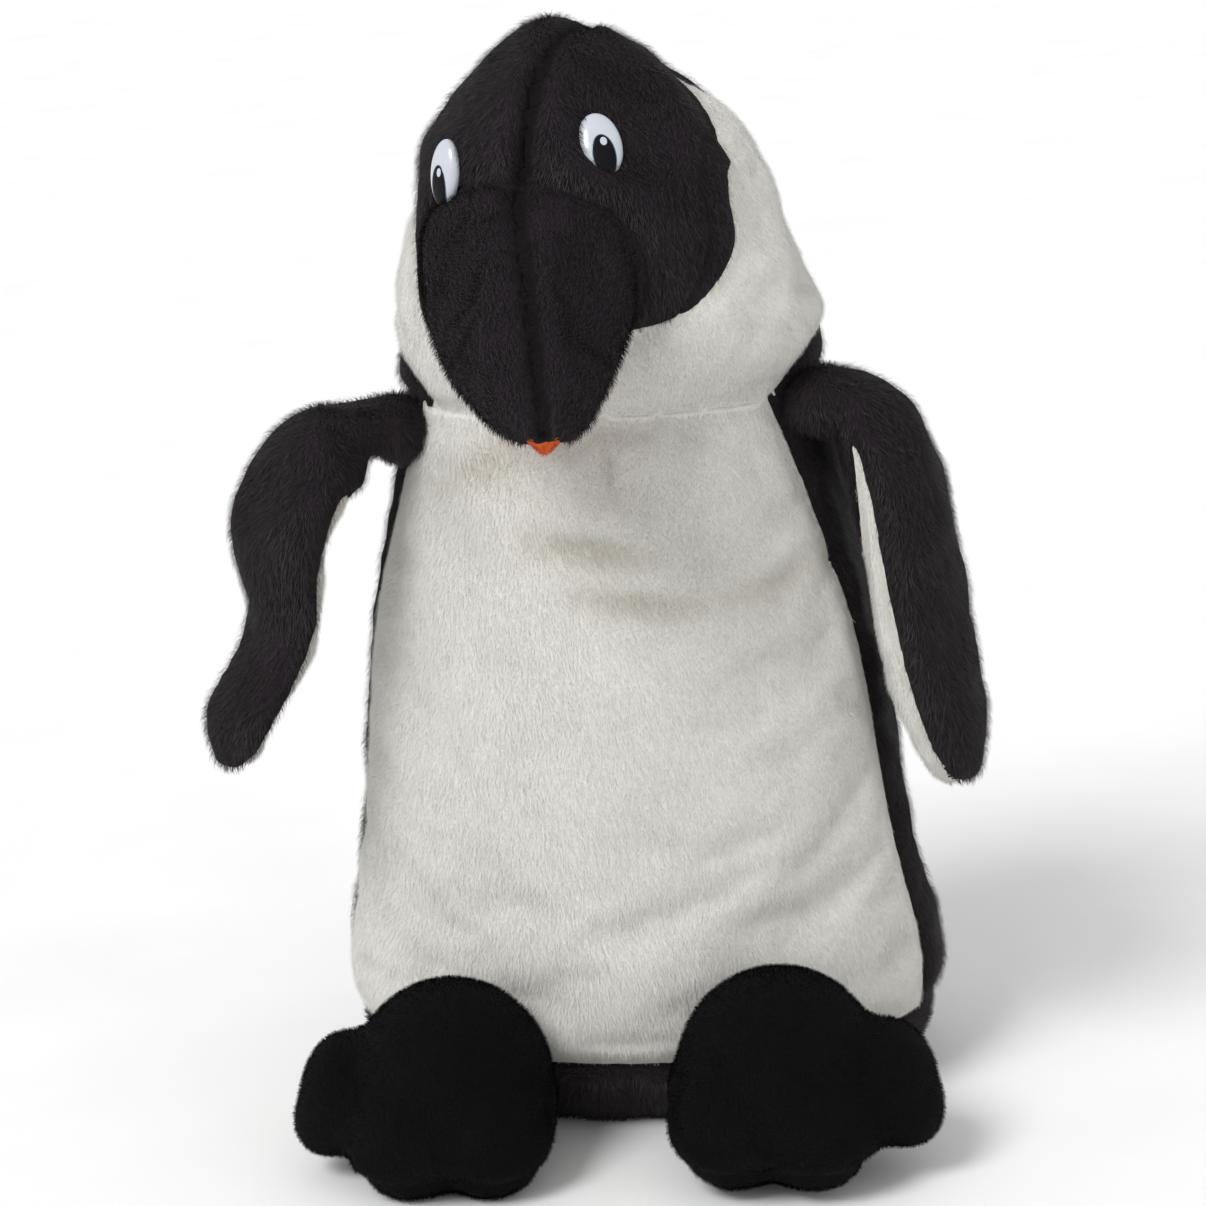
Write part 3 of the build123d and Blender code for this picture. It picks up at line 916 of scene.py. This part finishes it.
# ---------------------------------------------------------------- flippers
def flipper_ends(side):
    """The hinge point of a flipper and its tip."""
    hinge = next(j for j in frame["joints"] if j["name"] == f"flipper_{side}_swing")["pos_m"]
    co = coordinates(nodes["flipper_outer_" + side].data)
    return np.array(hinge), co[np.argmin(co[:, 2])]


def black_shoulder(hinge):
    """The outer panel wraps the whole shoulder, so the lining starts just outside the hinge."""
    return lambda co, gap: abs(hinge[0]) + 2 * MM - abs(co[:, 0])


FLIPPER_SEAMS = {"usual": 2.2 * MM}
for side in SIDES:
    panels = [f"flipper_outer_{side}", f"flipper_lining_{side}"]
    hinge, tip = flipper_ends(side)
    shoulder = (hinge * [0.9, 1, 1] - [0, 0, 2 * MM], (18 * MM, 22 * MM, 13 * MM))
    made = stuffed_skin("flipper_" + side, panels + [f"flipper_stuffing_{side}"], panels, 3.5 * MM, 4,
                        pressure=3, cap=3 * MM, depths=FLIPPER_SEAMS, width=4 * MM, partings={"usual": 0.25},
                        lumps=[shoulder], claims=[(panels[0], panels[1], black_shoulder(hinge))])
    for panel, piece in made.items():
        white = "lining" in panel
        start, end = hinge + [0, 0, 4 * MM], hinge + (tip - hinge) * 0.28
        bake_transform(piece)
        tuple(start)
        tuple(end)
        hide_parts(panel, *([f"flipper_stuffing_{side}"] if not white else []))
        piece["look"] = "white" if white else "black"
        piece["nap"] = "down"
        torso[panel] = piece


# ---------------------------------------------------------------- feet
FOOT_SEAMS = {"usual": 1.2 * MM}


def forwards(co):
    return np.tile([0.0, -1.0, -0.6], (len(co), 1))


for side in SIDES:
    panels = [f"foot_upper_{side}", f"foot_sole_{side}"]
    made = stuffed_skin("foot_" + side, panels + [f"foot_stuffing_{side}"], panels, 3.2 * MM, 9,
                        pressure=3, cap=2.5 * MM, depths=FOOT_SEAMS, width=3 * MM, partings={"usual": 0.3})
    for panel, piece in made.items():
        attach(piece, "foot_" + side)
        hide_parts(panel, *([f"foot_stuffing_{side}"] if "upper" in panel else []))
        piece["look"] = "foot"
        piece["nap"] = "forwards"
        torso[panel] = piece

NAPS = {f.__name__: f for f in (down, to_beak_tip, backwards, forwards)}
for number, (panel, piece) in enumerate(torso.items()):
    grow_pile(piece, piece["look"], NAPS[piece["nap"]], seed=number + 1, **PILES[piece["look"]])


# ---------------------------------------------------------------- closing stitches
stitches = nodes["closing_stitches"]
stitches.data.materials.clear()
stitches.data.materials.append(THREAD)


# ---------------------------------------------------------------- studio
def floor():
    mesh = bpy.data.meshes.new("floor")
    side = 12.0
    corners = [(-side, -side, 0), (side, -side, 0), (side, side, 0), (-side, side, 0)]
    mesh.from_pydata(corners, [], [(0, 1, 2, 3)])
    piece = link("floor", mesh)
    paint, graph, out = material("pale_floor")
    where = graph.add("ShaderNodeTexCoord").outputs["Object"]
    grain = graph.add("ShaderNodeTexNoise", {"Vector": where, "Scale": 9.0, "Detail": 4.0})
    tone = graph.ramp(grain.outputs["Fac"], [(0.3, (0.86, 0.86, 0.86)), (0.7, (0.90, 0.90, 0.90))])
    shader = graph.add("ShaderNodeBsdfPrincipled", {"Base Color": tone, "Roughness": 0.8})
    graph.tree.links.new(shader.outputs[0], out.inputs["Surface"])
    mesh.materials.append(paint)


def lamp(name, kind, at, aim, power, **settings):
    light = bpy.data.lights.new(name, kind)
    light.energy = power
    for key, value in settings.items():
        setattr(light, key, value)
    piece = bpy.data.objects.new(name, light)
    piece.location = at
    piece.rotation_mode = "QUATERNION"
    piece.rotation_quaternion = (Vector(aim) - Vector(at)).to_track_quat("-Z", "Y")
    bpy.context.scene.collection.objects.link(piece)


def camera():
    azimuth, pitch, roll, distance, field = radians(8), radians(15), radians(3.3), 1.300, 0.461
    aim = Vector((-0.0046 * cos(azimuth), -0.030 - 0.0046 * sin(azimuth), 0.200))
    back = Vector((sin(azimuth) * cos(pitch), -cos(azimuth) * cos(pitch), sin(pitch)))
    lens = bpy.data.cameras.new("camera")
    lens.sensor_width = 36
    lens.lens = 18 * distance / (field / 2)
    lens.clip_end = 60
    piece = bpy.data.objects.new("camera", lens)
    piece.rotation_mode = "QUATERNION"
    piece.location = aim + back * distance
    piece.rotation_quaternion = (-back).to_track_quat("-Z", "Y") @ Quaternion((0, 0, 1), -roll)
    bpy.context.scene.collection.objects.link(piece)
    bpy.context.scene.camera = piece


world = bpy.data.worlds.new("studio")
world.use_nodes = True
world.node_tree.nodes["Background"].inputs["Color"].default_value = (1, 1, 1, 1)
world.node_tree.nodes["Background"].inputs["Strength"].default_value = 0.72
bpy.context.scene.world = world
bpy.context.scene.view_settings.view_transform = "Standard"
floor()
lamp("key", "SUN", (-1.1, -1.5, 2.0), (0, 0, 0), 1.9, angle=radians(24))
lamp("fill", "AREA", (1.9, -1.5, 1.0), (0, 0, 0.2), 4, size=1.8)
camera()
